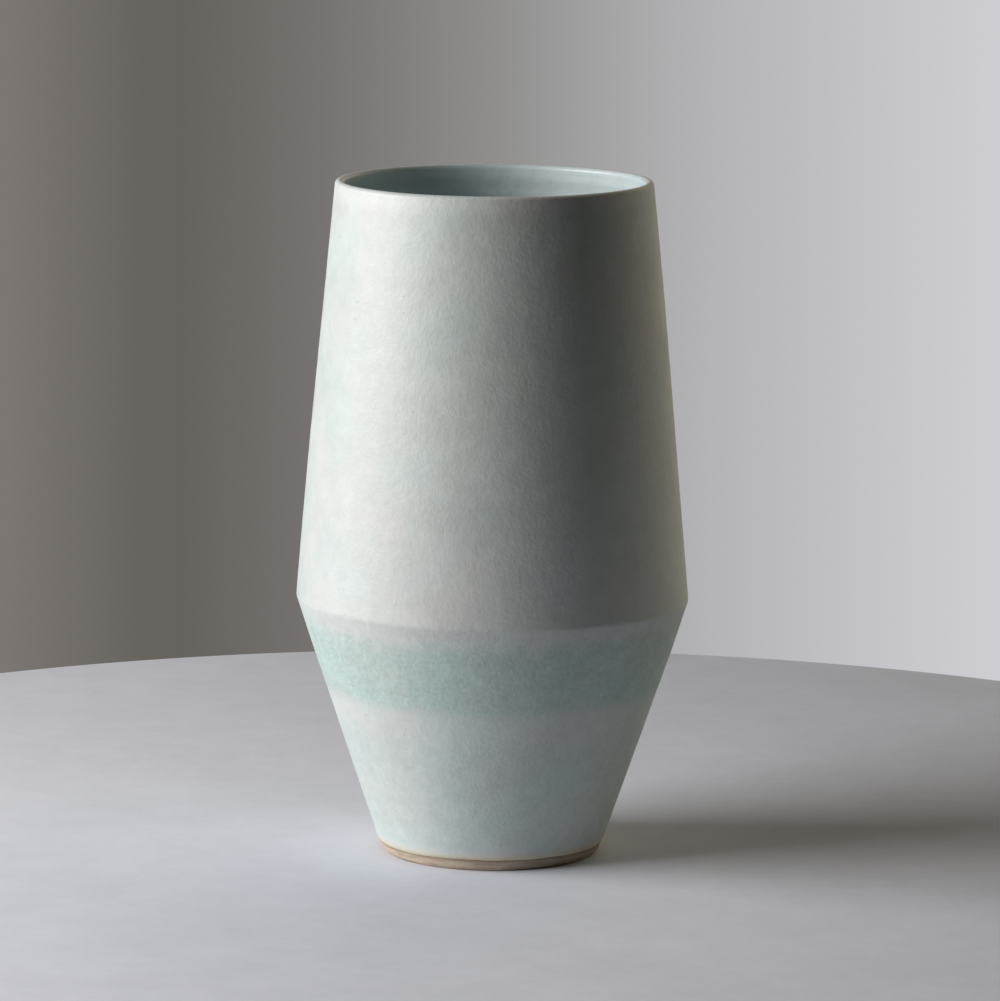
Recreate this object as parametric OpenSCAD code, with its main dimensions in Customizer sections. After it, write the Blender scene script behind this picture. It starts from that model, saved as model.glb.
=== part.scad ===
// A tall stoneware vase, thrown in two sections and luted together at a sharp shoulder.
// The lower section flares from a small bare foot, and the upper one tapers to a thin round lip.
// Three glaze coats cover the outside, with a green band where two dips overlap, and a liner
// glaze covers the inside. The axis is +Z, and the origin is the centre of the foot.

/* [Form] */
// Overall height, from the resting plane to the crest of the lip
height = 260; // [240:1:290]
// Height of the shoulder, where the flare turns into the taper
shoulder_h = 99.3; // [90:0.1:115]
// Diameter at the resting plane, if the glazed side ran down to it
foot_d = 84; // [76:0.5:92]
// Diameter over the shoulder
shoulder_d = 151; // [142:0.5:162]
// Diameter over the glaze at the lip
rim_d = 122; // [112:0.5:132]
// How far the flared side swells past a straight cone
lower_swell = 0.2; // [0:0.1:2]
// How far the tapered side swells past a straight cone
upper_swell = 0.3; // [0:0.1:2]
// Softness of the shoulder's edge, as the width of its blend
edge_blend = 0.8; // [0.2:0.1:3]

/* [Walls] */
// Clay thickness at the lip
lip_wall = 2.7; // [2:0.1:4]
// Clay thickness at the shoulder
shoulder_wall = 6; // [5:0.1:8]
// Clay thickness beside the floor, measured level
base_wall = 7; // [5.5:0.1:9]
// Height of the inside floor above the resting plane
floor_h = 9; // [7:0.5:12]
// Radius of the inside corner between floor and side
floor_fillet = 12; // [6:0.5:16]

/* [Foot] */
// Height of the bare clay band above the resting plane
bare_h = 4.5; // [3:0.1:8]
// Width of the flat ring that the vase stands on
ring_w = 7; // [5:0.5:12]
// Depth of the turned recess under the floor
recess_h = 2.5; // [1:0.1:4]
// Width of the bevel along each side of the ring
ring_bevel = 1; // [0.4:0.1:2]

/* [Glaze] */
// Thickness of one fired glaze coat
glaze_t = 0.4; // [0.3:0.05:0.8]
// Extra thickness where the two dips overlap
overlap_t = 0.15; // [0:0.05:0.4]
// Lower edge of the overlap band
band_low = 64; // [50:1:70]
// Upper edge of the overlap band
band_high = 93.5; // [80:0.5:94]
// How far the outside glaze runs down inside the lip
lip_lap = 6; // [4:0.5:12]

/* [Shoulder joint] */
// Height of the spigot on the lower section
spigot_h = 5; // [3:0.5:8]
// Thickness of the luting slip between the sections
slip_t = 0.6; // [0.4:0.1:1]

/* [Hidden] */
$fn = 96;

// Radii and heights that follow from the driving dimensions
foot_r = foot_d / 2;
shoulder_r = shoulder_d / 2;
rim_r = rim_d / 2;
lip_r = lip_wall / 2;
lip_z = height - glaze_t - lip_r;
lip_axis_r = rim_r - glaze_t - lip_r;
seam_low = shoulder_h - slip_t / 2;
seam_high = shoulder_h + slip_t / 2;
spigot_top = seam_low + spigot_h;
lap_z = lip_z - lip_lap;

// Slopes of the two sides, as angles from the axis
flare = atan((shoulder_r - foot_r) / shoulder_h);
taper = atan((shoulder_r - rim_r) / (lip_z - shoulder_h));

// The spigot stands at half the wall's thickness, clear of the slip on both sides
spigot_r = shoulder_r - glaze_t - shoulder_wall / 2;

// Inside of the lower section: a straight cone, and a corner circle that touches it and the floor
hollow_foot_r = foot_r - glaze_t - base_wall;
hollow_shoulder_r = shoulder_r - glaze_t - shoulder_wall;
hollow_flare = atan((hollow_shoulder_r - hollow_foot_r) / shoulder_h);
corner_z = floor_h + floor_fillet;
corner_r = hollow_foot_r + corner_z * tan(hollow_flare) - floor_fillet / cos(hollow_flare);
corner_top = corner_z - floor_fillet * sin(hollow_flare);

// How the curves are divided
side_steps = 10;
edge_steps = 12;
arc_steps = 10;
edge_reach = 3;
hollow_blend = 2;
least_step = 0.05;

function levels(a, b, n) = [for (i = [0 : n]) a + (b - a) * i / n];
function reversed(list) = [for (i = [len(list) - 1 : -1 : 0]) list[i]];
function swell(t) = 4 * t * (1 - t);

// The smaller of two values, with the corner between them rounded over a width
function soft_min(a, b, width) =
    let (h = max(width - abs(a - b), 0) / width)
    min(a, b) - h * h * width / 4;

// Heights at which every side is divided: closely at the shoulder, evenly elsewhere
STATIONS = concat(levels(0, shoulder_h - edge_reach, side_steps),
                  levels(shoulder_h - edge_reach, shoulder_h + edge_reach, edge_steps),
                  levels(shoulder_h + edge_reach, lip_z, 2 * side_steps));

function stations(low, high) =
    concat([low],
           [for (i = [1 : len(STATIONS) - 1])
                if (STATIONS[i] > low + least_step && STATIONS[i] < high - least_step
                    && STATIONS[i] > STATIONS[i - 1]) STATIONS[i]],
           [high]);

// Radius of the finished outside: the flare, the taper and the soft edge between them
function flare_r(z) =
    let (t = z / shoulder_h)
    foot_r + (shoulder_r - foot_r) * t + lower_swell * swell(t);
function taper_r(z) =
    let (t = (z - shoulder_h) / (lip_z - shoulder_h))
    shoulder_r + (rim_r - shoulder_r) * t + upper_swell * swell(t);
function skin_r(z) = soft_min(flare_r(z), taper_r(z), edge_blend);

// Radius of the clay's inside: the wall thins quickly above the shoulder, then slowly to the lip
function upper_wall(z) =
    let (t = (z - shoulder_h) / (lip_z - shoulder_h))
    lip_wall + (shoulder_wall - lip_wall) * (1 - t) * (1 - t);
function hollow_flare_r(z) = hollow_foot_r + z * tan(hollow_flare);
function hollow_taper_r(z) = taper_r(z) - glaze_t - upper_wall(z);
function hollow_r(z) = soft_min(hollow_flare_r(z), hollow_taper_r(z), hollow_blend);

// Points up the outside between two heights, a depth below the finished surface
function outside(low, high, depth) =
    [for (z = stations(low, high)) [skin_r(z) - depth, z]];

// Points up the inside between two heights, a cover above the clay
function inside(low, high, cover) =
    [for (z = stations(low, high)) [hollow_r(z) - cover, z]];

// Points from the axis over the floor and its corner, up to where the side begins
function floor_line(cover) =
    concat([[0, floor_h + cover]],
           [for (a = levels(-90, -hollow_flare, arc_steps))
                [corner_r + (floor_fillet - cover) * cos(a), corner_z + (floor_fillet - cover) * sin(a)]]);

// Points over the lip from its outer to its inner side, on a circle about the lip's axis
function lip_line(r) =
    [for (a = levels(taper, 180 - taper, arc_steps)) [lip_axis_r + r * cos(a), lip_z + r * sin(a)]];

// Thickness added to the finished surface across the overlap band, nothing at its two edges
function overlap(z) = overlap_t * swell((z - band_low) / (band_high - band_low));

// Lower section: turned foot ring, flared side, floor, and a spigot round its top
module lower_body() {
    color("tan")
        rotate_extrude()
            polygon(concat([[0, recess_h],
                            [foot_r - glaze_t - ring_bevel - ring_w - recess_h, recess_h],
                            [foot_r - glaze_t - ring_bevel - ring_w, 0],
                            [foot_r - glaze_t - ring_bevel, 0]],
                           outside(ring_bevel, seam_low, glaze_t),
                           [[spigot_r, seam_low],
                            [spigot_r, spigot_top]],
                           reversed(inside(corner_top + 1, spigot_top, 0)),
                           reversed(floor_line(0))));
}

// Upper section: tapered side with a rabbet that fits over the spigot, and a round lip
module upper_body() {
    color("tan")
        rotate_extrude()
            polygon(concat([[spigot_r + slip_t, seam_high]],
                           outside(seam_high, lip_z, glaze_t),
                           lip_line(lip_r),
                           reversed(inside(spigot_top + slip_t, lip_z, 0)),
                           [[spigot_r + slip_t, spigot_top + slip_t]]));
}

// Luting slip: fills the stepped gap between the two sections, flush with both walls
module joint_slip() {
    color("peru")
        rotate_extrude()
            polygon(concat([[spigot_r, seam_low]],
                           outside(seam_low, seam_high, glaze_t),
                           [[spigot_r + slip_t, seam_high],
                            [spigot_r + slip_t, spigot_top + slip_t]],
                           reversed(inside(spigot_top, spigot_top + slip_t, 0)),
                           [[spigot_r, spigot_top]]));
}

// First dip: the pale mint coat between the bare foot and the band
module lower_glaze() {
    color("lightcyan")
        rotate_extrude()
            polygon(concat(outside(bare_h, band_low, 0),
                           reversed(outside(bare_h, band_low, glaze_t))));
}

// Overlap of the two dips: the thicker green band under the shoulder
module band_glaze() {
    color("darkseagreen")
        rotate_extrude()
            polygon(concat([for (z = levels(band_low, band_high, side_steps)) [skin_r(z) + overlap(z), z]],
                           reversed(outside(band_low, band_high, glaze_t))));
}

// Second dip: the off-white coat over the shoulder, the tapered side and the lip
module upper_glaze() {
    color("whitesmoke")
        rotate_extrude()
            polygon(concat(outside(band_high, lip_z, 0),
                           lip_line(lip_r + glaze_t),
                           reversed(inside(lap_z, lip_z, glaze_t)),
                           inside(lap_z, lip_z, 0),
                           reversed(lip_line(lip_r)),
                           reversed(outside(band_high, lip_z, glaze_t))));
}

// Liner: the coat poured inside, over the floor and the side up to the lip's own glaze
module liner_glaze() {
    color("lightblue")
        rotate_extrude()
            polygon(concat(floor_line(0),
                           inside(corner_top + 1, lap_z, 0),
                           reversed(inside(corner_top + 1, lap_z, glaze_t)),
                           reversed(floor_line(glaze_t))));
}

lower_body();
upper_body();
joint_slip();
lower_glaze();
band_glaze();
upper_glaze();
liner_glaze();
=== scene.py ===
"""A tall stoneware vase dressed round its CAD frame: thrown clay, fired glazes, pale floor, soft light."""

import logging
import math
from dataclasses import dataclass
from enum import Enum

import bpy
import numpy as np
from mathutils import Matrix, Vector


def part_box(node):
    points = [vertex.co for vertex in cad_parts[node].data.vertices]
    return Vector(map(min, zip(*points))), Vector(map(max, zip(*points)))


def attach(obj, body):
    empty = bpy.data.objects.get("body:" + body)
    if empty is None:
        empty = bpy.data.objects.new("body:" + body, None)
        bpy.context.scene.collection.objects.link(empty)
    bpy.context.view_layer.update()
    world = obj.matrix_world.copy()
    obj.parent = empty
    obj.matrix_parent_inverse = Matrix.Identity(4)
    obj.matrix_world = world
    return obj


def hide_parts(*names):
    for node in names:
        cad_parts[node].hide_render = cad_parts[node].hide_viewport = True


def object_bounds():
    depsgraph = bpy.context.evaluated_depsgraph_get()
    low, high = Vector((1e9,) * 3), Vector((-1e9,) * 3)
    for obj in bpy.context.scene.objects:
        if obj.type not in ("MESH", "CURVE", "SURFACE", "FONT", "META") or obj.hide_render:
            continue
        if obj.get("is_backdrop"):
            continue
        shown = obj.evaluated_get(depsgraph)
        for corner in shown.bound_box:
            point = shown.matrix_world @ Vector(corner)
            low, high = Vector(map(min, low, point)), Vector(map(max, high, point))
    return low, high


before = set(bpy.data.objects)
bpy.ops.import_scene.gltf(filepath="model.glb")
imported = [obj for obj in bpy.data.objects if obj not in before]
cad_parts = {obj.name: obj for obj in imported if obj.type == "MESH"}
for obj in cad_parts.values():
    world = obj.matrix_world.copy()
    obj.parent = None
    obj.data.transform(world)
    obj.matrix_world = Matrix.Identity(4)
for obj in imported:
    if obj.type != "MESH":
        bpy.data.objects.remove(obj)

LOG = logging.getLogger("vase")
MM = 0.001
BODY = "root"

Colour = tuple[float, float, float, float]
Socket = bpy.types.NodeSocket

# The values that a noise usually takes; its rare highs and lows are clipped to them
USUAL = {"From Min": 0.3, "From Max": 0.7}

# Points closer together than this are one point
SAME_POINT = 0.001 * MM


def linear(code: str) -> Colour:
    """Turn an sRGB hex colour into linear light.

    A channel c becomes (c + 0.055) / 1.055 to the power 2.4, or c / 12.92 when it is very dark.

    Args:
        code: Six hex digits after a hash, such as "#d9dedc".

    Returns:
        Linear red, green and blue, and an alpha of one.
    """
    values = np.array([int(code[i:i + 2], 16) for i in (1, 3, 5)]) / 255.0
    light = np.where(values <= 0.04045, values / 12.92, ((values + 0.055) / 1.055) ** 2.4)
    return (*light.tolist(), 1.0)


def add_node(tree: bpy.types.NodeTree, kind: str, settings: dict | None = None,
             links: dict | None = None) -> bpy.types.Node:
    """Add one shader node with its settings and links.

    Args:
        tree: The node tree that gets the node.
        kind: The node's Blender type name.
        settings: Values by property name or input name or number; "stops" gives a colour ramp's stops.
        links: Output sockets by the input name or number that each one feeds.

    Returns:
        The new node.
    """
    node = tree.nodes.new(kind)
    for key, value in (settings or {}).items():
        if key == "stops":
            elements = node.color_ramp.elements
            while len(elements) < len(value):
                elements.new(1.0)
            for element, (position, colour) in zip(elements, value):
                element.position, element.color = position, colour
        elif isinstance(key, str) and hasattr(node, key):
            setattr(node, key, value)
        else:
            node.inputs[key].default_value = value
    for key, socket in (links or {}).items():
        tree.links.new(socket, node.inputs[key])
    return node


def new_material(name: str) -> tuple[bpy.types.Material, bpy.types.NodeTree]:
    """Make an empty node material.

    Args:
        name: The material's name.

    Returns:
        The material and its empty node tree.
    """
    material = bpy.data.materials.new(name)
    material.use_nodes = True
    material.node_tree.nodes.clear()
    return material, material.node_tree


class Side(Enum):
    """Which hand-worked face of the wall a point belongs to."""

    OUTSIDE = 1.0
    INSIDE = 0.0


@dataclass(frozen=True)
class Form:
    """Sizes of the pot in metres: heights are read from the frame, and radii repeat the CAD's own.

    The shoulder's edge is crisper than in CAD, and the foot's edge is worn round.
    """

    height: float
    bare_top: float
    band_low: float
    band_high: float
    lap: float
    floor: float
    seam: float
    slip_top: float
    shoulder: float = 99.3 * MM
    foot_radius: float = 42.0 * MM
    shoulder_radius: float = 75.5 * MM
    rim_radius: float = 61.0 * MM
    lower_swell: float = 0.2 * MM
    upper_swell: float = 0.3 * MM
    edge_blend: float = 0.4 * MM
    hollow_blend: float = 2.0 * MM
    lip_wall: float = 2.7 * MM
    shoulder_wall: float = 6.0 * MM
    base_wall: float = 7.0 * MM
    floor_fillet: float = 12.0 * MM
    ring_width: float = 7.0 * MM
    recess: float = 2.5 * MM
    bevel: float = 1.0 * MM
    edge: float = 1.6 * MM
    edge_power: float = 1.5
    coat: float = 0.4 * MM
    overlap: float = 0.15 * MM
    slip: float = 0.6 * MM
    bead: float = 0.1 * MM
    bead_height: float = 1.4 * MM
    thinning: float = 0.8
    thin_height: float = 0.5 * MM

    @classmethod
    def from_frame(cls) -> "Form":
        """Read the heights at which one piece ends and the next begins from the CAD nodes' boxes.

        Returns:
            The pot's sizes.
        """
        slip_low, slip_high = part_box("joint_slip")
        band_low, band_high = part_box("band_glaze")
        liner_low, liner_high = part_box("liner_glaze")
        return cls(height=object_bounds()[1].z, bare_top=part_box("lower_glaze")[0].z, band_low=band_low.z,
                   band_high=band_high.z, lap=liner_high.z, floor=liner_low.z, seam=slip_low.z,
                   slip_top=slip_high.z)

    @property
    def lip_radius(self) -> float:
        """Radius of the clay lip's round section."""
        return self.lip_wall / 2

    @property
    def lip_height(self) -> float:
        """Height of the centre of the lip's round section."""
        return self.height - self.coat - self.lip_radius

    @property
    def lip_axis(self) -> float:
        """Distance of the centre of the lip's round section from the pot's axis."""
        return self.rim_radius - self.coat - self.lip_radius

    @property
    def spigot_radius(self) -> float:
        """Radius of the spigot in the shoulder joint, at half the wall's thickness."""
        return self.shoulder_radius - self.coat - self.shoulder_wall / 2

    @staticmethod
    def swell(t: np.ndarray) -> np.ndarray:
        """Give a parabola that is nothing at 0 and 1, and one at the middle."""
        return 4 * t * (1 - t)

    @staticmethod
    def soft_min(a: np.ndarray, b: np.ndarray, width: float) -> np.ndarray:
        """Give the smaller of two values, less a quarter of width times h squared, where they are close.

        Args:
            a: First values.
            b: Second values.
            width: Difference at which the rounding of the corner ends; h is how far inside it they are.

        Returns:
            The smaller values with the corner between them rounded.
        """
        h = np.clip(width - np.abs(a - b), 0, None) / width
        return np.minimum(a, b) - h * h * width / 4

    def taper(self, z: np.ndarray) -> np.ndarray:
        """Radius of the tapered side: a straight cone from shoulder to lip, plus its swell."""
        t = (z - self.shoulder) / (self.lip_height - self.shoulder)
        return self.shoulder_radius * (1 - t) + self.rim_radius * t + self.upper_swell * self.swell(t)

    def skin(self, z: np.ndarray) -> np.ndarray:
        """Work out the finished outside: the smaller of flare and taper, with a soft edge between them.

        The flare is a straight cone from foot to shoulder, plus its swell.

        Args:
            z: Height.

        Returns:
            Radius at each height.
        """
        t = z / self.shoulder
        flare = self.foot_radius * (1 - t) + self.shoulder_radius * t + self.lower_swell * self.swell(t)
        return self.soft_min(flare, self.taper(z), self.edge_blend)

    def hollow(self, z: np.ndarray) -> np.ndarray:
        """Work out the clay's inside: a straight cone below the shoulder, and a thinning wall above it.

        Above the shoulder the wall is the lip's, plus the rest of the shoulder's times the square of the
        share of the way still to go.

        Args:
            z: Height.

        Returns:
            Radius at each height.
        """
        t = (z - self.shoulder) / (self.lip_height - self.shoulder)
        wall = self.lip_wall + (self.shoulder_wall - self.lip_wall) * (1 - t) ** 2
        flare = self.hollow_foot + z * math.tan(self.hollow_angle)
        return self.soft_min(flare, self.taper(z) - self.coat - wall, self.hollow_blend)

    @property
    def hollow_foot(self) -> float:
        """Radius that the inside's straight cone would have at the resting plane."""
        return self.foot_radius - self.coat - self.base_wall

    @property
    def hollow_angle(self) -> float:
        """Angle of the inside's straight cone from the axis."""
        spread = self.shoulder_radius - self.coat - self.shoulder_wall - self.hollow_foot
        return math.atan(spread / self.shoulder)

    @property
    def corner(self) -> tuple[float, float]:
        """Find the centre of the round corner between floor and side: it touches the floor and the cone.

        Returns:
            Its radius and height.
        """
        height = self.floor + self.floor_fillet
        radius = self.hollow_foot + height * math.tan(self.hollow_angle)
        return radius - self.floor_fillet / math.cos(self.hollow_angle), height


@dataclass(frozen=True)
class ThrowingMarks:
    """How far the potter's hands leave the walls from a true turned shape, in metres."""

    form: Form
    ovality: float = 0.2 * MM
    drift: float = 0.18 * MM
    drift_turns: float = 1.8
    lean: float = 0.7 * MM
    rib_depth: float = 0.03 * MM
    rib_pitch: float = 11.0 * MM
    rib_swell: float = 0.4
    rib_swells: float = 0.37
    finger_depth: float = 0.22 * MM
    finger_pitch: float = 7.5 * MM
    finger_ledge: float = 0.3
    finger_skew: float = 0.8
    dip_wave: float = 0.13 * MM
    dip_waves: tuple[tuple[int, float, float], ...] = ((3, 1.0, 0.4), (7, 0.6, 2.1), (17, 0.35, 0.0))
    fade: float = 6.0 * MM

    def wander(self, angle: np.ndarray, z: np.ndarray) -> np.ndarray:
        """Radial offset of the whole wall: it drifts towards +X and back twice as it rises, and turns oval.

        The drift is half of one minus a cosine of the height, and the oval grows with its square, so
        both are nothing at the foot, which is turned true.

        Args:
            angle: Angle about the axis, in radians.
            z: Height.

        Returns:
            Metres outwards.
        """
        rise = np.clip(z / self.form.height, 0, 1)
        away = (1 - np.cos(2 * math.pi * self.drift_turns * rise)) / 2
        return self.drift * away * np.cos(angle) - self.ovality * rise ** 2 * np.cos(2 * angle)

    def lift(self, angle: np.ndarray, z: np.ndarray) -> np.ndarray:
        """Vertical offset: the shoulder leans down towards +X, and less and less above and below it.

        Args:
            angle: Angle about the axis, in radians.
            z: Height.

        Returns:
            Metres upwards: the lean times a smooth step that is one at the shoulder.
        """
        form = self.form
        below = (z - form.bare_top) / (form.shoulder - form.bare_top)
        above = (form.height - z) / (form.height - form.shoulder)
        share = np.clip(np.minimum(below, above), 0, 1)
        return -self.lean * np.cos(angle) * share ** 2 * (3 - 2 * share)

    def relief(self, angle: np.ndarray, z: np.ndarray, side: np.ndarray) -> np.ndarray:
        """Radial offset of one face: shallow rib marks outside, and a spiral of finger grooves inside.

        Both are sines of height less turns about the axis, so each ridge climbs one pitch a turn. A rib's
        depth swells and sinks as a slower sine, and a second sine of half the pitch gives each groove a
        ledge. They fade out towards the lip, the floor and the shoulder's edge, where the potter smooths
        them.

        Args:
            angle: Angle about the axis, in radians.
            z: Height.
            side: One on the outside and nothing on the inside, with values between over the lip.

        Returns:
            Metres outwards.
        """
        form = self.form
        lip = np.clip((form.lip_height - z) / self.fade, 0, 1)
        edge = np.clip(np.abs(z - form.shoulder) / self.fade, 0, 1)
        base = np.clip((z - form.floor - form.floor_fillet) / form.floor_fillet, 0, 1)
        foot = np.clip((z - form.bare_top) / self.fade, 0, 1)
        rib_phase = 2 * math.pi * z / self.rib_pitch - angle
        depth = 1 - self.rib_swell + self.rib_swell * np.sin(self.rib_swells * rib_phase)
        outside = self.rib_depth * depth * np.sin(rib_phase) * lip * edge * foot
        finger_phase = 2 * math.pi * z / self.finger_pitch - angle
        finger = np.sin(finger_phase) + self.finger_ledge * np.sin(2 * finger_phase + self.finger_skew)
        return side * outside + (1 - side) * self.finger_depth * finger * lip * base

    def dip_line(self, angle: np.ndarray, z: np.ndarray) -> np.ndarray:
        """Vertical offset of the glaze's wavy lower edge, gone a little above it.

        It is a sum of sines, each with its waves to the turn, its share of the height and its phase.

        Args:
            angle: Angle about the axis, in radians.
            z: Height.

        Returns:
            Metres upwards.
        """
        wave = sum(share * np.sin(turns * angle + phase) for turns, share, phase in self.dip_waves)
        near = np.clip(1 - np.abs(z - self.form.bare_top) / self.fade, 0, 1)
        return self.dip_wave * wave * near


@dataclass
class Profile:
    """A line in the half plane through the axis: radii, heights and the face that each point belongs to."""

    radius: np.ndarray
    height: np.ndarray
    side: np.ndarray

    @classmethod
    def line(cls, radius: np.ndarray, height: np.ndarray, side: Side) -> "Profile":
        """Make a stretch of points on one face of the wall."""
        radius, height = np.atleast_1d(radius, height)
        return cls(radius, height, np.full(radius.shape, side.value))

    def reversed(self) -> "Profile":
        """Give the same points in the other order."""
        return Profile(self.radius[::-1], self.height[::-1], self.side[::-1])

    @staticmethod
    def join(*parts: "Profile") -> "Profile":
        """Join stretches end to end, dropping a point that repeats the one before it.

        Args:
            parts: The stretches, in order.

        Returns:
            One line through all of them.
        """
        radius = np.concatenate([part.radius for part in parts])
        height = np.concatenate([part.height for part in parts])
        side = np.concatenate([part.side for part in parts])
        step = np.hypot(np.diff(radius, prepend=-1.0), np.diff(height, prepend=-1.0))
        keep = step > SAME_POINT
        return Profile(radius[keep], height[keep], side[keep])


@dataclass(frozen=True)
class Wall:
    """Stretches of the pot's section, from which every piece's outline is put together."""

    form: Form
    row: float = 1.3 * MM
    hidden_row: float = 4.0 * MM
    edge_row: float = 0.25 * MM
    edge_reach: float = 3.0 * MM
    clearance: float = 0.5 * MM

    def rows(self, low: float, high: float, hidden: bool) -> np.ndarray:
        """Give heights from low to high: even, wider on a hidden face, closer at foot and shoulder.

        Args:
            low: The first height.
            high: The last height.
            hidden: Whether another piece covers the face.

        Returns:
            The heights, in order.
        """
        edge_low, edge_high = self.form.shoulder - self.edge_reach, self.form.shoulder + self.edge_reach
        foot_high = self.form.bare_top + self.edge_reach
        cuts = [low] + [cut for cut in (foot_high, edge_low, edge_high) if low < cut < high] + [high]
        stretches = []
        for start, end in zip(cuts[:-1], cuts[1:]):
            middle = (start + end) / 2
            wide = self.hidden_row if hidden else self.row
            step = self.edge_row if middle < foot_high or edge_low < middle < edge_high else wide
            stretches.append(np.linspace(start, end, max(2, round((end - start) / step) + 1)))
        return np.unique(np.concatenate(stretches))

    def outside(self, low: float, high: float, depth: float = 0.0) -> Profile:
        """Points up the outside, a depth below the finished surface; the clay under a coat is hidden."""
        z = self.rows(low, high, hidden=depth > 0)
        return Profile.line(self.form.skin(z) - depth, z, Side.OUTSIDE)

    def inside(self, low: float, high: float, cover: float = 0.0) -> Profile:
        """Points up the inside, with a cover of glaze on the clay; the clay under it is hidden."""
        z = self.rows(low, high, hidden=cover == 0)
        return Profile.line(self.form.hollow(z) - cover, z, Side.INSIDE)

    def floor(self, cover: float = 0.0, steps: int = 16) -> Profile:
        """Give points from the axis over the floor and round its corner.

        Args:
            cover: Thickness of the glaze on the clay.
            steps: Points on the flat, and again on the corner.

        Returns:
            The stretch, from the axis outwards.
        """
        radius, height = self.form.corner
        angles = np.linspace(-math.pi / 2, -self.form.hollow_angle, steps)
        bend = self.form.floor_fillet - cover
        flat = np.linspace(0, radius, steps)[:-1]
        return Profile.join(
            Profile.line(flat, np.full(flat.shape, height - bend), Side.INSIDE),
            Profile.line(radius + bend * np.cos(angles), height + bend * np.sin(angles), Side.INSIDE))

    def side_start(self) -> float:
        """Height just above the floor's round corner, where the straight side begins."""
        form = self.form
        return form.corner[1] - form.floor_fillet * math.sin(form.hollow_angle) + self.clearance

    def lip(self, radius: float, steps: int = 22) -> Profile:
        """Give points over the lip on a circle about its centre, from outside to inside.

        Args:
            radius: The circle's radius.
            steps: How many points.

        Returns:
            The stretch; which side it is on turns evenly from outside to inside.
        """
        form = self.form
        lean = math.atan((form.shoulder_radius - form.rim_radius) / (form.lip_height - form.shoulder))
        angles = np.linspace(lean, math.pi - lean, steps)
        return Profile(form.lip_axis + radius * np.cos(angles), form.lip_height + radius * np.sin(angles),
                       np.linspace(Side.OUTSIDE.value, Side.INSIDE.value, steps))


@dataclass
class Revolved:
    """A closed surface of revolution with the potter's marks worked into it."""

    name: str
    profile: Profile
    marks: ThrowingMarks
    wavy: bool = False
    columns: int = 360
    corner_degrees: float = 38.0

    def points(self, ring: Profile, angle: np.ndarray) -> np.ndarray:
        """Give the surface's points: the outline's radius and height, offset by the marks, turned about Z.

        Args:
            ring: The outline's points off the axis, one row of the grid each.
            angle: Angles about the axis, one column of the grid each.

        Returns:
            An array of rows by columns by three coordinates.
        """
        turn, z = np.meshgrid(angle, ring.height)
        radius = ring.radius[:, None] + self.marks.wander(turn, z)
        radius = radius + self.marks.relief(turn, z, ring.side[:, None])
        lifted = z + self.marks.lift(turn, z)
        if self.wavy:
            lifted = lifted + self.marks.dip_line(turn, z)
        return np.stack([radius * np.cos(turn), radius * np.sin(turn), lifted], axis=-1)

    def build(self) -> bpy.types.Object:
        """Make the mesh: quads between rows, closed round the axis, and looped or ended in two poles.

        The point attribute "side" keeps which face of the wall each point is on, for the glaze to read.

        Returns:
            The linked object, at the origin.
        """
        angle = np.linspace(0, 2 * math.pi, self.columns, endpoint=False)
        on_axis = self.profile.radius < SAME_POINT
        ring = Profile(*(part[~on_axis] for part in (self.profile.radius, self.profile.height,
                                                     self.profile.side)))
        vertices = self.points(ring, angle).reshape(-1, 3)
        side = np.repeat(ring.side, self.columns)
        index = np.arange(len(vertices)).reshape(-1, self.columns)
        looped = not on_axis.any()
        upper = np.roll(index, -1, axis=0) if looped else index[1:]
        lower = index if looped else index[:-1]
        quads = np.stack([lower, np.roll(lower, -1, axis=1), np.roll(upper, -1, axis=1), upper], axis=-1)
        faces = quads.reshape(-1, 4).tolist()
        if not looped:
            first, last = len(vertices), len(vertices) + 1
            poles = np.stack([np.zeros(2), np.zeros(2), self.profile.height[on_axis]], axis=-1)
            vertices = np.concatenate([vertices, poles])
            side = np.concatenate([side, self.profile.side[on_axis]])
            start = np.stack([np.full(self.columns, first), np.roll(index[0], -1), index[0]], axis=-1)
            end = np.stack([np.full(self.columns, last), index[-1], np.roll(index[-1], -1)], axis=-1)
            faces += start.tolist() + end.tolist()
        mesh = bpy.data.meshes.new(self.name)
        mesh.from_pydata(vertices, [], faces)
        mesh.attributes.new("side", "FLOAT", "POINT").data.foreach_set("value", side.astype(np.float32))
        mesh.shade_smooth()
        mesh.set_sharp_from_angle(angle=math.radians(self.corner_degrees))
        mesh.validate()
        piece = bpy.data.objects.new(self.name, mesh)
        bpy.context.scene.collection.objects.link(piece)
        return piece


@dataclass(frozen=True)
class Pattern:
    """One scale of unevenness in a finish: fractal noise whose widest cells have a real size."""

    size_mm: float
    detail: float
    roughness: float = 0.5

    @property
    def settings(self) -> dict[str, float]:
        """Settings of the noise: as many cells to the metre as their real size gives."""
        return {"Scale": 1 / (self.size_mm * MM), "Detail": self.detail, "Roughness": self.roughness}


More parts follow.
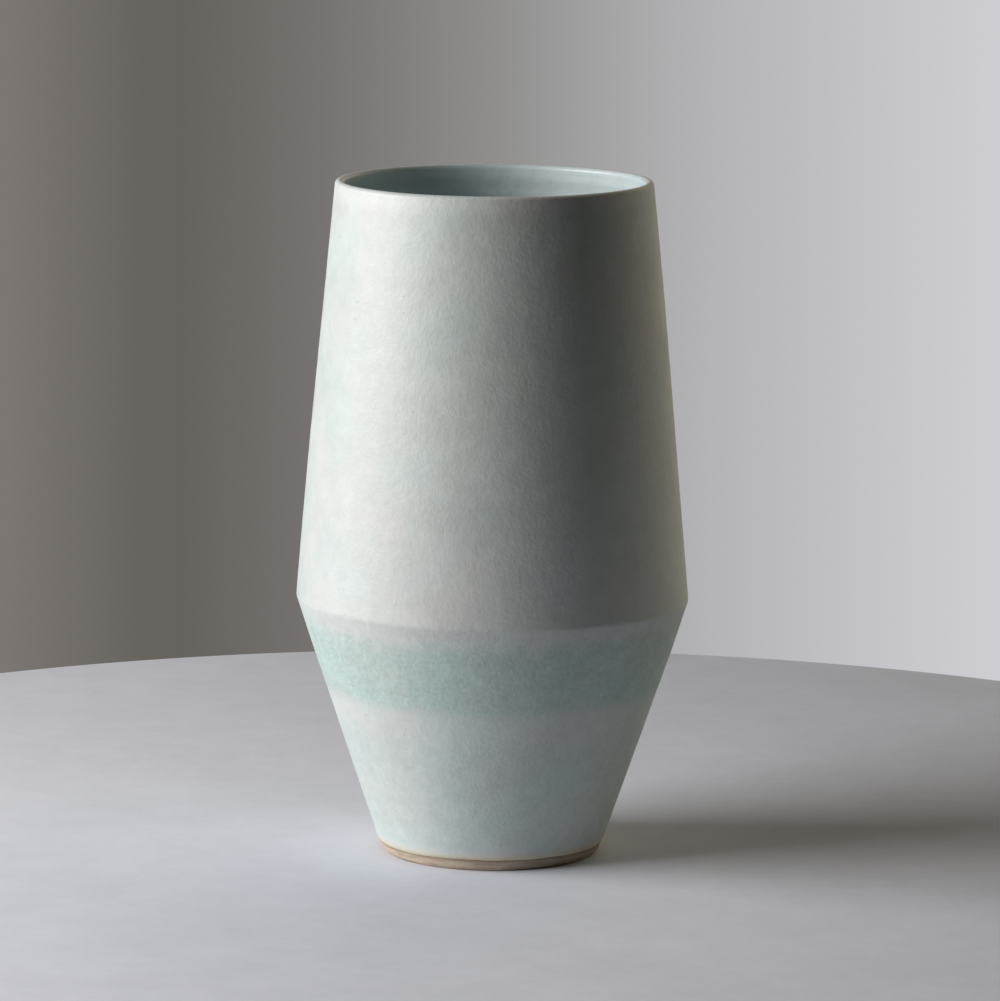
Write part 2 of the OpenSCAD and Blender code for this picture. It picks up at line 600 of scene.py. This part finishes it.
@dataclass(frozen=True)
class SatinGlaze:
    """Satin magnesium glaze over stoneware, dipped twice outside and poured inside, and fired once.

    It is opaque and pale, with a soft sheen and no sharp reflection, and it is never even: it clouds,
    and melts into fine mottles. Where it is thick, and most where the two dips overlap, it turns
    celadon green in flecks; where it is thin, on the shoulder's edge, the lip and the line above the
    foot, it breaks to a paler tone. The paler tone over the top few millimetres of the rim is partly
    that thin glaze and partly a painted highlight, for light from above catching the lip. Iron in the
    clay bleeds through as a few fine specks. The inside is blue green and glossier.
    """

    form: Form
    # The rim's paler tone: partly thin glaze on the lip, partly a painted highlight for light from above
    rim_white_and_highlight: str = "#d0d6d4"
    top_white: str = "#c7cfcc"
    white: str = "#c8cecd"
    pale: str = "#c9cfce"
    green: str = "#afc6c1"
    cream: str = "#d2c9b2"
    liner: str = "#c6d6d9"
    speck: str = "#6f7573"
    cool: str = "#f6fbf9"
    warm: str = "#fbf9f7"
    roughness: float = 0.5
    liner_roughness: float = 0.36
    gloss_spread: float = 0.05
    ior: float = 1.5
    cream_top: float = 0.8 * MM
    cream_fade: float = 2.0 * MM
    white_start: float = 1.5 * MM
    top_share: float = 0.7
    rim_depth: float = 4.0 * MM
    rim_fade: float = 4.0 * MM
    lower_green: float = 0.34
    gap_green: float = 0.12
    gap_edge_green: float = 0.14
    band_green: float = 0.8
    band_edge_green: float = 0.78
    shoulder_green: float = 0.2
    top_green: float = 0.04
    edge_drift: float = 2.6 * MM
    clouding: float = 0.028
    mottling: float = 0.052
    band_mottling: float = 0.12
    graining: float = 0.006
    band_graining: float = 0.065
    flecking: float = 0.3
    ripple: float = 0.24 * MM
    peel: float = 0.045 * MM
    cloud: Pattern = Pattern(19.0, 3.0)
    tinge: Pattern = Pattern(26.0, 2.0)
    mottle: Pattern = Pattern(7.0, 4.0, 0.8)
    grain: Pattern = Pattern(1.5, 2.0, 0.6)
    tinge_span: tuple[float, float] = (0.38, 0.62)
    speck_cell_mm: float = 9.0
    speck_span: tuple[float, float] = (0.025, 0.05)
    speck_strength: float = 0.45

    def base_tones(self) -> list[tuple[float, Colour]]:
        """Give ground colours by share of the height: cream, pale, white from the shoulder, and a paler rim
        that is partly thin glaze on the lip and partly a painted highlight.

        Returns:
            Stops of a colour ramp.
        """
        form = self.form
        # The top of the rim is paler: partly thin glaze over the lip, partly a painted highlight for light
        # from above catching it
        cream_top, rim_low = form.bare_top + self.cream_top, form.height - self.rim_depth
        tones = [(cream_top, self.cream), (cream_top + self.cream_fade, self.pale),
                 (form.band_high, self.pale), (form.shoulder + self.white_start, self.white),
                 (form.height * self.top_share, self.top_white), (rim_low - self.rim_fade, self.top_white),
                 (rim_low, self.rim_white_and_highlight)]
        return [(height / form.height, linear(code)) for height, code in tones]

    def green_amounts(self) -> list[tuple[float, Colour]]:
        """Give amounts of green by share of the height: some below, a gap, most in the band, little above.

        The lower coat loses its green over the quarter of its height under the band. Each edge of the band
        takes four to six millimetres.

        Returns:
            Stops of a colour ramp, with the amounts as greys.
        """
        form = self.form
        steps = [(form.bare_top + 1.5 * MM, 0.0), (form.bare_top + 6 * MM, self.lower_green),
                 (form.band_low * 0.75, self.lower_green), (form.band_low - 6 * MM, self.gap_green),
                 (form.band_low - 1 * MM, self.gap_edge_green), (form.band_low + 3 * MM, self.band_green),
                 (form.band_high - 5 * MM, self.band_edge_green),
                 (form.band_high + 1 * MM, self.shoulder_green), (form.shoulder + 1 * MM, self.top_green)]
        return [(height / form.height, (amount, amount, amount, 1.0)) for height, amount in steps]

    def colour(self, tree: bpy.types.NodeTree, place: Socket, side: Socket,
               noises: dict[str, Socket]) -> Socket:
        """Colour the glaze: height picks tone and green, and noise drifts, flecks and clouds them.

        Args:
            tree: The material's node tree.
            place: The point's place on the pot.
            side: One outside and nothing inside, where the liner's own tone shows.
            noises: Values of the cloud, tinge, mottle and grain patterns.

        Returns:
            The glaze's colour.
        """
        full = self.form.height
        height = add_node(tree, "ShaderNodeSeparateXYZ", links={0: place}).outputs["Z"]
        drift = add_node(tree, "ShaderNodeMapRange",
                         USUAL | {"To Min": -self.edge_drift, "To Max": self.edge_drift},
                         {"Value": noises["mottle"]}).outputs[0]
        moved = add_node(tree, "ShaderNodeMath", {"operation": "ADD"}, {0: height, 1: drift}).outputs[0]
        along = add_node(tree, "ShaderNodeMath", {"operation": "DIVIDE", 1: full}, {0: moved}).outputs[0]
        level = add_node(tree, "ShaderNodeMath", {"operation": "DIVIDE", 1: full}, {0: height}).outputs[0]
        ground = add_node(tree, "ShaderNodeValToRGB", {"stops": self.base_tones()},
                          {0: level}).outputs[0]
        amount = add_node(tree, "ShaderNodeValToRGB", {"stops": self.green_amounts()},
                          {0: along}).outputs[0]
        fleck = add_node(tree, "ShaderNodeMapRange",
                         USUAL | {"To Min": 1 + self.flecking, "To Max": 1 - self.flecking},
                         {"Value": noises["grain"]}).outputs[0]
        flecked = add_node(tree, "ShaderNodeMath", {"operation": "MULTIPLY"},
                           {0: amount, 1: fleck}).outputs[0]
        outside = add_node(tree, "ShaderNodeMix", {"data_type": "RGBA", 7: linear(self.green)},
                           {0: flecked, 6: ground}).outputs[2]
        both = add_node(tree, "ShaderNodeMix", {"data_type": "RGBA", 6: linear(self.liner)},
                        {0: side, 7: outside}).outputs[2]

        # The thicker the glaze, the more it mottles: each pattern's gain grows with the amount of green
        uneven = add_node(tree, "ShaderNodeMapRange",
                          USUAL | {"To Min": 1 - self.clouding, "To Max": 1 + self.clouding},
                          {"Value": noises["cloud"]}).outputs[0]
        for name, least, most in (("mottle", self.mottling, self.band_mottling),
                                  ("grain", self.graining, self.band_graining)):
            gain = add_node(tree, "ShaderNodeMapRange", {"To Min": least, "To Max": most},
                            {"Value": amount})
            value = add_node(tree, "ShaderNodeMapRange", USUAL | {"To Min": -1.0, "To Max": 1.0},
                             {"Value": noises[name]})
            uneven = add_node(tree, "ShaderNodeMath", {"operation": "MULTIPLY_ADD"},
                              {0: value.outputs[0], 1: gain.outputs[0], 2: uneven}).outputs[0]
        shaded = add_node(tree, "ShaderNodeVectorMath", {"operation": "SCALE"}, {0: both, "Scale": uneven})
        tones = zip(self.tinge_span, (linear(self.cool), linear(self.warm)))
        hue = add_node(tree, "ShaderNodeValToRGB", {"stops": list(tones)}, {0: noises["tinge"]})
        clouded = add_node(tree, "ShaderNodeVectorMath", {"operation": "MULTIPLY"},
                           {0: shaded.outputs[0], 1: hue.outputs[0]}).outputs[0]

        # Iron specks: a dot where the middle of a cell lies close enough to the surface, in cells
        cells = add_node(tree, "ShaderNodeTexVoronoi", {"Scale": 1 / (self.speck_cell_mm * MM)},
                         {"Vector": place}).outputs["Distance"]
        whole, gone = self.speck_span
        dots = add_node(tree, "ShaderNodeMapRange",
                        {"From Min": whole, "From Max": gone, "To Min": self.speck_strength, "To Max": 0.0},
                        {"Value": cells}).outputs[0]
        return add_node(tree, "ShaderNodeMix", {"data_type": "RGBA", 7: linear(self.speck)},
                        {0: dots, 6: clouded}).outputs[2]

    def build(self, name: str) -> bpy.types.Material:
        """Make the glaze: its colour, a sheen that varies with its clouds, and a rippled, pitted face.

        Args:
            name: The material's name.

        Returns:
            The material.
        """
        material, tree = new_material(name)
        place = add_node(tree, "ShaderNodeTexCoord").outputs["Object"]
        side = add_node(tree, "ShaderNodeAttribute", {"attribute_name": "side"}).outputs["Fac"]
        patterns = {"cloud": self.cloud, "tinge": self.tinge, "mottle": self.mottle, "grain": self.grain}
        noises = {key: add_node(tree, "ShaderNodeTexNoise", pattern.settings, {"Vector": place}).outputs[0]
                  for key, pattern in patterns.items()}
        colour = self.colour(tree, place, side, noises)
        gloss = add_node(tree, "ShaderNodeMapRange",
                         USUAL | {"To Min": -self.gloss_spread, "To Max": self.gloss_spread},
                         {"Value": noises["cloud"]}).outputs[0]
        dull = add_node(tree, "ShaderNodeMapRange",
                        {"To Min": self.liner_roughness, "To Max": self.roughness},
                        {"Value": side}).outputs[0]
        sheen = add_node(tree, "ShaderNodeMath", {"operation": "ADD"}, {0: dull, 1: gloss}).outputs[0]
        ripple = add_node(tree, "ShaderNodeBump", {"Strength": 1.0, "Distance": self.ripple},
                          {"Height": noises["mottle"]})
        peel = add_node(tree, "ShaderNodeBump", {"Strength": 1.0, "Distance": self.peel},
                        {"Height": noises["grain"], "Normal": ripple.outputs[0]})
        shader = add_node(tree, "ShaderNodeBsdfPrincipled", {"IOR": self.ior},
                          {"Base Color": colour, "Roughness": sheen, "Normal": peel.outputs[0]})
        add_node(tree, "ShaderNodeOutputMaterial", links={"Surface": shader.outputs[0]})
        return material


@dataclass(frozen=True)
class BareClay:
    """Buff stoneware clay, thrown, turned and fired unglazed.

    It is dry and sandy to the eye and streaked along its turned lines. A darker line just under the
    glaze edge is painted shade, for the shadow that the glaze's edge casts on the clay.
    """

    bare_top: float
    light: str = "#bbad9b"
    dark: str = "#a0907e"
    # Painted shade: the darker line just under the glaze edge
    glaze_edge_shade: str = "#85745f"
    glaze_edge_shading: float = 0.75
    glaze_edge_shade_width: float = 1.0 * MM
    glaze_edge_shade_gap: float = 0.3 * MM
    roughness: float = 0.88
    ior: float = 1.45
    grit: float = 0.15 * MM
    grit_strength: float = 0.5
    streak: Pattern = Pattern(9.0, 4.0, 0.6)
    streak_flatness: float = 9.0
    streak_span: tuple[float, float] = (0.34, 0.6)
    sand: Pattern = Pattern(0.6, 2.0)
    sand_span: tuple[float, float] = (0.88, 1.08)

    def build(self, name: str) -> bpy.types.Material:
        """Make the clay: streaks along the turning, sand grains, and a painted shade line under the glaze
        edge.

        Args:
            name: The material's name.

        Returns:
            The material.
        """
        material, tree = new_material(name)
        place = add_node(tree, "ShaderNodeTexCoord").outputs["Object"]
        height = add_node(tree, "ShaderNodeSeparateXYZ", links={0: place}).outputs["Z"]
        flat = add_node(tree, "ShaderNodeMapping", {"Scale": (1.0, 1.0, self.streak_flatness)},
                        {"Vector": place}).outputs[0]
        streak = add_node(tree, "ShaderNodeTexNoise", self.streak.settings, {"Vector": flat}).outputs[0]
        sand = add_node(tree, "ShaderNodeTexNoise", self.sand.settings, {"Vector": place}).outputs[0]
        tones = zip(self.streak_span, (linear(self.dark), linear(self.light)))
        tone = add_node(tree, "ShaderNodeValToRGB", {"stops": list(tones)}, {"Fac": streak})
        # Painted shade: a darker line just under the glaze edge, for the shadow that the glaze's edge casts
        # on the clay
        glaze_edge_shade_top = self.bare_top - self.glaze_edge_shade_gap
        line = add_node(tree, "ShaderNodeMapRange",
                        {"From Min": glaze_edge_shade_top - self.glaze_edge_shade_width, "From Max": glaze_edge_shade_top,
                         "To Max": self.glaze_edge_shading}, {"Value": height}).outputs[0]
        glaze_edge_shaded = add_node(tree, "ShaderNodeMix", {"data_type": "RGBA", 7: linear(self.glaze_edge_shade)},
                           {0: line, 6: tone.outputs[0]}).outputs[2]
        least, most = self.sand_span
        grains = add_node(tree, "ShaderNodeMapRange", USUAL | {"To Min": least, "To Max": most},
                          {"Value": sand}).outputs[0]
        colour = add_node(tree, "ShaderNodeVectorMath", {"operation": "SCALE"},
                          {0: glaze_edge_shaded, "Scale": grains}).outputs[0]
        relief = add_node(tree, "ShaderNodeBump",
                          {"Strength": self.grit_strength, "Distance": self.grit}, {"Height": sand})
        shader = add_node(tree, "ShaderNodeBsdfPrincipled", {"Roughness": self.roughness, "IOR": self.ior},
                          {"Base Color": colour, "Normal": relief.outputs[0]})
        add_node(tree, "ShaderNodeOutputMaterial", links={"Surface": shader.outputs[0]})
        return material


@dataclass
class Pot:
    """The vase itself: two thrown sections, the slip that joins them, and four coats of glaze."""

    form: Form
    wall: Wall
    marks: ThrowingMarks
    liner_columns: int = 280
    edge_points: int = 9
    recess_points: int = 24
    slope_points: int = 6
    ring_points: int = 8
    slip_light: str = "#ae9a80"
    slip_dark: str = "#8f775c"

    def place(self, piece: bpy.types.Object, node: str, slot: str, material: bpy.types.Material) -> None:
        """Dress a piece and let it stand for its CAD node.

        Args:
            piece: The finished mesh object.
            node: The CAD node that it replaces.
            slot: The record's material slot; not used.
            material: Its finish.
        """
        piece.data.materials.append(material)
        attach(piece, BODY)
        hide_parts(node)
        LOG.info("%s stands for %s: %d faces", piece.name, node, len(piece.data.polygons))

    def lower_section(self) -> Revolved:
        """Outline the lower section: turned recess and ring, flared side, spigot, inside and floor.

        The foot's edge is a worn quarter round: the sine and cosine of a quarter turn to a power.

        Returns:
            The piece, ready to build.
        """
        form, wall = self.form, self.wall
        foot = form.foot_radius - form.coat
        ring = foot - form.bevel - form.ring_width
        edge_centre = float(form.skin(np.array([form.edge]))[0]) - form.coat - form.edge
        angles = np.linspace(0, math.pi / 2, self.edge_points)
        edge = Profile.line(edge_centre + form.edge * np.sin(angles) ** form.edge_power,
                            form.edge * (1 - np.cos(angles) ** form.edge_power), Side.OUTSIDE)
        recess_edge = ring - form.recess
        recess = Profile.line(np.linspace(0, recess_edge, self.recess_points),
                              np.full(self.recess_points, form.recess), Side.OUTSIDE)
        slope = Profile.line(np.linspace(recess_edge, ring, self.slope_points),
                             np.linspace(form.recess, 0, self.slope_points), Side.OUTSIDE)
        rest = Profile.line(np.linspace(ring, edge_centre, self.ring_points),
                            np.zeros(self.ring_points), Side.OUTSIDE)
        step = Profile.line(np.array([form.spigot_radius, form.spigot_radius]),
                            np.array([form.seam, form.slip_top - form.slip]), Side.INSIDE)
        return Revolved("thrown_lower_section", Profile.join(
            recess, slope, rest, edge, wall.outside(form.edge, form.seam, form.coat), step,
            wall.inside(wall.side_start(), form.slip_top - form.slip).reversed(),
            wall.floor().reversed()), self.marks)

    def upper_section(self) -> Revolved:
        """Outline the upper section: tapered side, round lip, inside, and the rabbet over the spigot.

        Returns:
            The piece, ready to build.
        """
        form, wall = self.form, self.wall
        rabbet = form.spigot_radius + form.slip
        foot = Profile.line(np.array([rabbet, rabbet]), np.array([form.slip_top, form.seam + form.slip]),
                            Side.INSIDE)
        return Revolved("thrown_upper_section", Profile.join(
            foot, wall.outside(form.seam + form.slip, form.lip_height, form.coat),
            wall.lip(form.lip_radius),
            wall.inside(form.slip_top, form.lip_height).reversed()), self.marks)

    def joint_slip(self) -> Revolved:
        """Outline the slip: the stepped gap between the two sections.

        Returns:
            The piece, ready to build.
        """
        form, wall = self.form, self.wall
        low, high = form.seam + form.slip, form.slip_top - form.slip
        inner, outer = form.spigot_radius, form.spigot_radius + form.slip
        return Revolved("luting_slip", Profile.join(
            Profile.line(inner, form.seam, Side.INSIDE),
            wall.outside(form.seam, low, form.coat),
            Profile.line(np.array([outer, outer]), np.array([low, form.slip_top]), Side.INSIDE),
            wall.inside(high, form.slip_top).reversed(),
            Profile.line(inner, high, Side.INSIDE)), self.marks)

    def lower_coat(self) -> Revolved:
        """Outline the first dip: it thins where it ends above the bare foot, with a rounded bead over that.

        The thinning falls off as an exponential of the height above the end, and the bead is a bell curve.

        Returns:
            The piece, ready to build.
        """
        form, wall = self.form, self.wall
        outer = wall.outside(form.bare_top, form.band_low)
        above = outer.height - form.bare_top
        bead = form.bead * np.exp(-((above - form.bead_height) / form.bead_height) ** 2)
        outer.radius = outer.radius + bead - form.coat * form.thinning * np.exp(-above / form.thin_height)
        return Revolved("lower_glaze_coat", Profile.join(
            outer, wall.outside(form.bare_top, form.band_low, form.coat).reversed()), self.marks, wavy=True)

    def band_coat(self) -> Revolved:
        """Outline the overlap of the two dips, a little thicker in the middle of the band.

        Returns:
            The piece, ready to build.
        """
        form, wall = self.form, self.wall
        outer = wall.outside(form.band_low, form.band_high)
        share = (outer.height - form.band_low) / (form.band_high - form.band_low)
        outer.radius = outer.radius + form.overlap * form.swell(share)
        return Revolved("band_glaze_coat", Profile.join(
            outer, wall.outside(form.band_low, form.band_high, form.coat).reversed()), self.marks)

    def upper_coat(self) -> Revolved:
        """Outline the second dip: over the shoulder, up the side, over the lip and a little way in.

        Returns:
            The piece, ready to build.
        """
        form, wall = self.form, self.wall
        return Revolved("upper_glaze_coat", Profile.join(
            wall.outside(form.band_high, form.lip_height), wall.lip(form.lip_radius + form.coat),
            wall.inside(form.lap, form.lip_height, form.coat).reversed(),
            wall.inside(form.lap, form.lip_height), wall.lip(form.lip_radius).reversed(),
            wall.outside(form.band_high, form.lip_height, form.coat).reversed()), self.marks)

    def liner_coat(self) -> Revolved:
        """Outline the liner: over floor and side to the lap, and back along the glaze's face.

        Returns:
            The piece, ready to build.
        """
        form, wall = self.form, self.wall
        return Revolved("liner_glaze_coat", Profile.join(
            wall.floor(), wall.inside(wall.side_start(), form.lap),
            wall.inside(wall.side_start(), form.lap, form.coat).reversed(),
            wall.floor(form.coat).reversed()), self.marks, columns=self.liner_columns)

    def build(self) -> None:
        """Make every piece of the pot, dress it and fix it to the frame."""
        bare_top = self.form.bare_top
        clay = BareClay(bare_top).build("buff_stoneware_clay")
        slip = BareClay(bare_top, light=self.slip_light, dark=self.slip_dark)
        slip = slip.build("stoneware_luting_slip")
        glaze = SatinGlaze(self.form).build("satin_magnesium_glaze")
        self.place(self.lower_section().build(), "lower_body", "bare_clay", clay)
        self.place(self.upper_section().build(), "upper_body", "bare_clay", clay)
        self.place(self.joint_slip().build(), "joint_slip", "luting_slip", slip)
        for coat, node in ((self.lower_coat(), "lower_glaze"), (self.band_coat(), "band_glaze"),
                           (self.upper_coat(), "upper_glaze"), (self.liner_coat(), "liner_glaze")):
            self.place(coat.build(), node, node, glaze)


@dataclass(frozen=True)
class Viewpoint:
    """The camera: places in pot heights, angles in degrees."""

    form: Form
    distance: float = 8.2486
    rise: float = 1.8725
    yaw: float = 0.076
    pitch: float = 9.283
    roll: float = 0.343
    lens_mm: float = 203.42
    sensor_mm: float = 36.0

    def build(self) -> None:
        """Place the camera in front of the pot, looking a little down, with a slight roll."""
        yaw, pitch, roll = (math.radians(a) for a in (self.yaw, self.pitch, self.roll))
        ahead = Vector((math.sin(yaw) * math.cos(pitch), math.cos(yaw) * math.cos(pitch), -math.sin(pitch)))
        level = Vector((math.cos(yaw), -math.sin(yaw), 0))
        upright = level.cross(ahead)
        right = level * math.cos(roll) + upright * math.sin(roll)
        up = upright * math.cos(roll) - level * math.sin(roll)
        data = bpy.data.cameras.new("camera")
        data.lens, data.sensor_width = self.lens_mm, self.sensor_mm
        camera = bpy.data.objects.new("camera", data)
        turn = Matrix((right, up, -ahead)).transposed().to_4x4()
        place = Vector((0, -self.distance, self.rise)) * self.form.height
        camera.matrix_world = Matrix.Translation(place) @ turn
        bpy.context.scene.collection.objects.link(camera)
        bpy.context.scene.camera = camera


@dataclass(frozen=True)
class Studio:
    """A plain pale round floor, a tall soft window light from the left, and a grey surround."""

    floor_radius: float = 0.41
    floor_rings: int = 6
    floor_columns: int = 180
    floor_colour: str = "#d6dce6"
    floor_roughness: float = 0.8
    floor_cloud: Pattern = Pattern(60.0, 8.0, 0.85)
    floor_clouding: float = 0.07
    key_aim: float = 0.12
    key_azimuth: float = -77.5
    key_elevation: float = 19.0
    key_distance: float = 1.3
    key_width: float = 1.1
    key_height: float = 0.75
    key_power: float = 25.5
    key_colour: tuple[float, float, float] = (1.055, 1.0, 0.995)
    fill_azimuth: float = 142.0
    fill_elevation: float = 16.0
    fill_edge: float = 0.58
    fill_least: float = 0.0
    fill_most: float = 0.84
    fill_colour: Colour = (1.13, 1.0, 0.79, 1.0)

    @staticmethod
    def direction(azimuth: float, elevation: float) -> Vector:
        """Give the direction at an azimuth from the front and an elevation above level.

        Args:
            azimuth: Degrees from the front, towards the right.
            elevation: Degrees above level.

        Returns:
            A vector of length one: right is +X, and the front is -Y.
        """
        turn, rise = math.radians(azimuth), math.radians(elevation)
        return Vector((math.sin(turn) * math.cos(rise), -math.cos(turn) * math.cos(rise), math.sin(rise)))

    def floor(self) -> None:
        """Make the floor: a flat disc of a few rings, closed at a pole in the middle."""
        radius = np.linspace(0, self.floor_radius, self.floor_rings)[1:, None]
        angle = np.linspace(0, 2 * math.pi, self.floor_columns, endpoint=False)[None, :]
        grid = np.stack([radius * np.cos(angle), radius * np.sin(angle), 0 * radius * angle], axis=-1)
        index = np.arange(grid.shape[0] * grid.shape[1]).reshape(grid.shape[:2]) + 1
        lower, upper = index[:-1], index[1:]
        quads = np.stack([lower, upper, np.roll(upper, -1, axis=1), np.roll(lower, -1, axis=1)], axis=-1)
        fan = np.stack([np.zeros(self.floor_columns, int), index[0], np.roll(index[0], -1)], axis=-1)
        mesh = bpy.data.meshes.new("floor")
        mesh.from_pydata(np.concatenate([np.zeros((1, 3)), grid.reshape(-1, 3)]), [],
                         quads.reshape(-1, 4).tolist() + fan.tolist())
        mesh.validate()
        floor = bpy.data.objects.new("floor", mesh)
        bpy.context.scene.collection.objects.link(floor)
        mesh.materials.append(self.floor_finish())
        floor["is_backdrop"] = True

    def floor_finish(self) -> bpy.types.Material:
        """Make the floor's finish: matt pale plaster, trowelled smooth, with faint clouds.

        Returns:
            The material.
        """
        material, tree = new_material("pale_matt_plaster")
        place = add_node(tree, "ShaderNodeTexCoord").outputs["Object"]
        cloud = add_node(tree, "ShaderNodeTexNoise", self.floor_cloud.settings,
                         {"Vector": place}).outputs[0]
        uneven = add_node(tree, "ShaderNodeMapRange",
                          USUAL | {"To Min": 1 - self.floor_clouding, "To Max": 1 + self.floor_clouding},
                          {"Value": cloud}).outputs[0]
        colour = add_node(tree, "ShaderNodeVectorMath",
                          {"operation": "SCALE", 0: linear(self.floor_colour)[:3]},
                          {"Scale": uneven}).outputs[0]
        shader = add_node(tree, "ShaderNodeBsdfPrincipled", {"Roughness": self.floor_roughness},
                          {"Base Color": colour})
        add_node(tree, "ShaderNodeOutputMaterial", links={"Surface": shader.outputs[0]})
        return material

    def key(self) -> None:
        """Hang the key light: a tall soft window, hidden from the camera, that faces the pot's middle."""
        towards = self.direction(self.key_azimuth, self.key_elevation)
        data = bpy.data.lights.new("window", "AREA")
        data.shape, data.size, data.size_y = "RECTANGLE", self.key_width, self.key_height
        data.energy, data.color = self.key_power, self.key_colour
        light = bpy.data.objects.new("window", data)
        light.location = Vector((0, 0, self.key_aim)) + towards * self.key_distance
        light.rotation_mode = "QUATERNION"
        light.rotation_quaternion = towards.to_track_quat("Z", "Y")
        light.visible_camera = False
        bpy.context.scene.collection.objects.link(light)

    @staticmethod
    def backdrop() -> list[tuple[float, Colour]]:
        """Tones of the backdrop by sideways direction, from the left edge of the view to the right one.

        Returns:
            Stops of a colour ramp.
        """
        tones = [(-0.088, "#7d7873"), (-0.058, "#64605b"), (-0.03, "#767370"), (0.0, "#8f8e8d"),
                 (0.035, "#b2b2b4"), (0.085, "#cdccd1")]
        return [((1 + sideways) / 2, linear(code)) for sideways, code in tones]

    def surround(self) -> None:
        """Set the surround: a plain grey backdrop, darker on the left, and a warm fill from the back right.

        The fill's strength grows with the cosine of the angle from its own direction, from the least
        where the cosine is fill_edge or less, to the most straight along it.
        """
        world = bpy.data.worlds.new("surround")
        world.use_nodes = True
        tree = world.node_tree
        tree.nodes.clear()
        place = add_node(tree, "ShaderNodeTexCoord").outputs["Generated"]
        sideways = add_node(tree, "ShaderNodeSeparateXYZ", links={0: place}).outputs["X"]
        share = add_node(tree, "ShaderNodeMapRange", {"From Min": -1.0, "From Max": 1.0},
                         {"Value": sideways}).outputs[0]
        tone = add_node(tree, "ShaderNodeValToRGB", {"stops": self.backdrop()}, {"Fac": share}).outputs[0]
        seen = add_node(tree, "ShaderNodeBackground", links={"Color": tone})
        towards = self.direction(self.fill_azimuth, self.fill_elevation)
        facing = add_node(tree, "ShaderNodeVectorMath", {"operation": "DOT_PRODUCT", 1: towards},
                          {0: place}).outputs["Value"]
        strength = add_node(tree, "ShaderNodeMapRange",
                            {"From Min": self.fill_edge, "To Min": self.fill_least,
                             "To Max": self.fill_most},
                            {"Value": facing}).outputs[0]
        fill = add_node(tree, "ShaderNodeBackground", {"Color": self.fill_colour}, {"Strength": strength})
        ray = add_node(tree, "ShaderNodeLightPath").outputs["Is Camera Ray"]
        both = add_node(tree, "ShaderNodeMixShader", links={0: ray, 1: fill.outputs[0], 2: seen.outputs[0]})
        add_node(tree, "ShaderNodeOutputWorld", links={"Surface": both.outputs[0]})
        bpy.context.scene.world = world

    def build(self) -> None:
        """Make the floor, the key light and the surround."""
        self.floor()
        self.key()
        self.surround()
        bpy.context.scene.view_settings.view_transform = "Standard"


def main() -> None:
    """Build the pot and its setting."""
    logging.basicConfig(level=logging.INFO, format="%(name)s: %(message)s")
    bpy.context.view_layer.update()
    form = Form.from_frame()
    Pot(form, Wall(form), ThrowingMarks(form)).build()
    Studio().build()
    Viewpoint(form).build()


if __name__ == "__main__":
    main()
